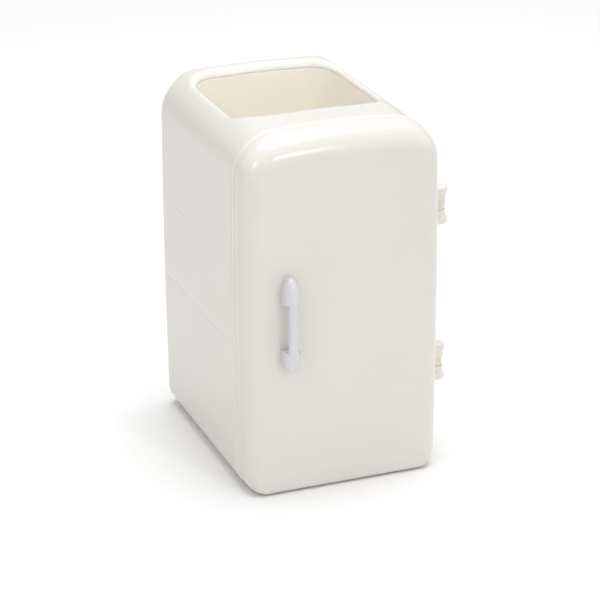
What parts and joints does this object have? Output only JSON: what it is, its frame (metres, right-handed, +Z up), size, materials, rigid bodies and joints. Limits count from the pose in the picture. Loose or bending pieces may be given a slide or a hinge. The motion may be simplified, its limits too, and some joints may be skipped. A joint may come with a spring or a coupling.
{
  "type": "mini fridge",
  "caption": "Small desk-top mini fridge with rounded edges, a hinged door with a raised grip handle and an open pen well in its crowned top.",
  "frame": {"origin": "on the standing plane, at the middle of the cabinet's width and of its closed depth without the handle", "axes": "+X to the hinge side, -Y out through the door, +Z up"},
  "size_m": [0.087, 0.105, 0.139],
  "materials": {
    "shell": "glossy ivory moulded plastic",
    "inner": "satin cream moulded plastic",
    "hinge": "glossy ivory moulded plastic",
    "grip": "glossy bluish-white moulded plastic",
    "steel": "zinc-plated steel",
    "magnet": "nickel-plated magnet"
  },
  "bodies": {
    "cabinet": {"body_shell": "shell", "pen_cup": "inner", "middle_shelf": "inner", "hinge_lug_upper": "hinge", "hinge_lug_lower": "hinge", "hinge_pin_upper": "steel", "hinge_pin_lower": "steel", "lug_screws": "steel", "magnet_holder": "inner", "catch_magnet": "magnet"},
    "door": {"door_shell": "shell", "door_liner": "inner", "liner_screws": "steel", "door_rack_upper": "inner", "door_rack_lower": "inner", "door_hinge_upper": "hinge", "door_hinge_lower": "hinge", "handle": "grip", "handle_screws": "steel", "strike_plate": "steel"}
  },
  "joints": [
    {"name": "door_hinge", "type": "hinge", "parent": "cabinet", "child": "door", "pos_m": [0.0448, -0.03005, 0.06765], "axis": [0, 0, 1], "range_deg": [0, 170]}
  ]
}
